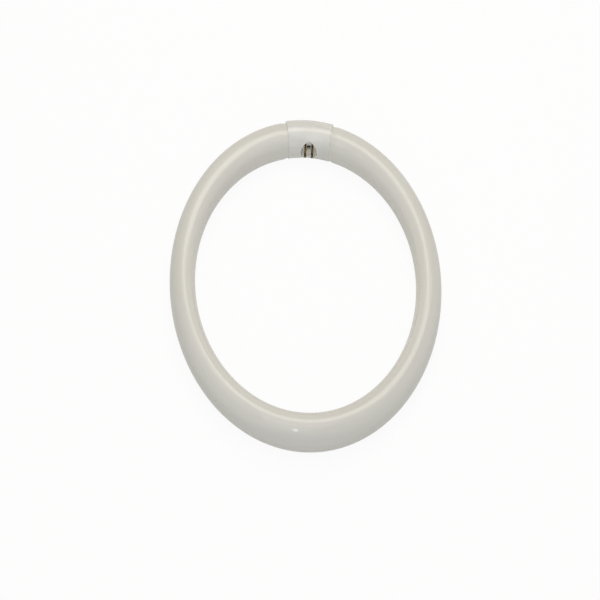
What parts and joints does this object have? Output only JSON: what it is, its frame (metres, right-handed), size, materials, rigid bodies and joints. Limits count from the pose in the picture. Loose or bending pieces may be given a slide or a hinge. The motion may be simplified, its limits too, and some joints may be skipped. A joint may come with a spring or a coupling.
{
  "type": "circular fluorescent tube",
  "caption": "Ring-shaped fluorescent lamp: a sealed white glass tube bent to a circle, its ends joined by a moulded cap with contact pins in a well that faces the middle of the ring.",
  "frame": {"origin": "on the ring's axis, in the plane of the surface that the cap rests on", "axes": "+Z is the ring's axis, up; the cap is at +Y and its pins point to -Y, at the ring's middle; +X is to the right as seen looking along +Y"},
  "size_m": [0.3046, 0.3058, 0.0296],
  "materials": {
    "coated_glass": "smooth glass over a white inner coating, opaque",
    "cap_plastic": "satin white moulding",
    "plate_plastic": "satin white moulding",
    "pin_brass": "brass darkened by tarnish",
    "wire_metal": "tinned lead wire"
  },
  "bodies": {
    "root": {"glass_tube": "coated_glass", "cap_shell_upper": "cap_plastic", "cap_shell_lower": "cap_plastic", "plug_plate": "plate_plastic", "contact_pin_upper_left": "pin_brass", "contact_pin_upper_right": "pin_brass", "contact_pin_lower_left": "pin_brass", "contact_pin_lower_right": "pin_brass", "lead_wire_upper_left": "wire_metal", "lead_wire_upper_right": "wire_metal", "lead_wire_lower_left": "wire_metal", "lead_wire_lower_right": "wire_metal"}
  },
  "joints": []
}
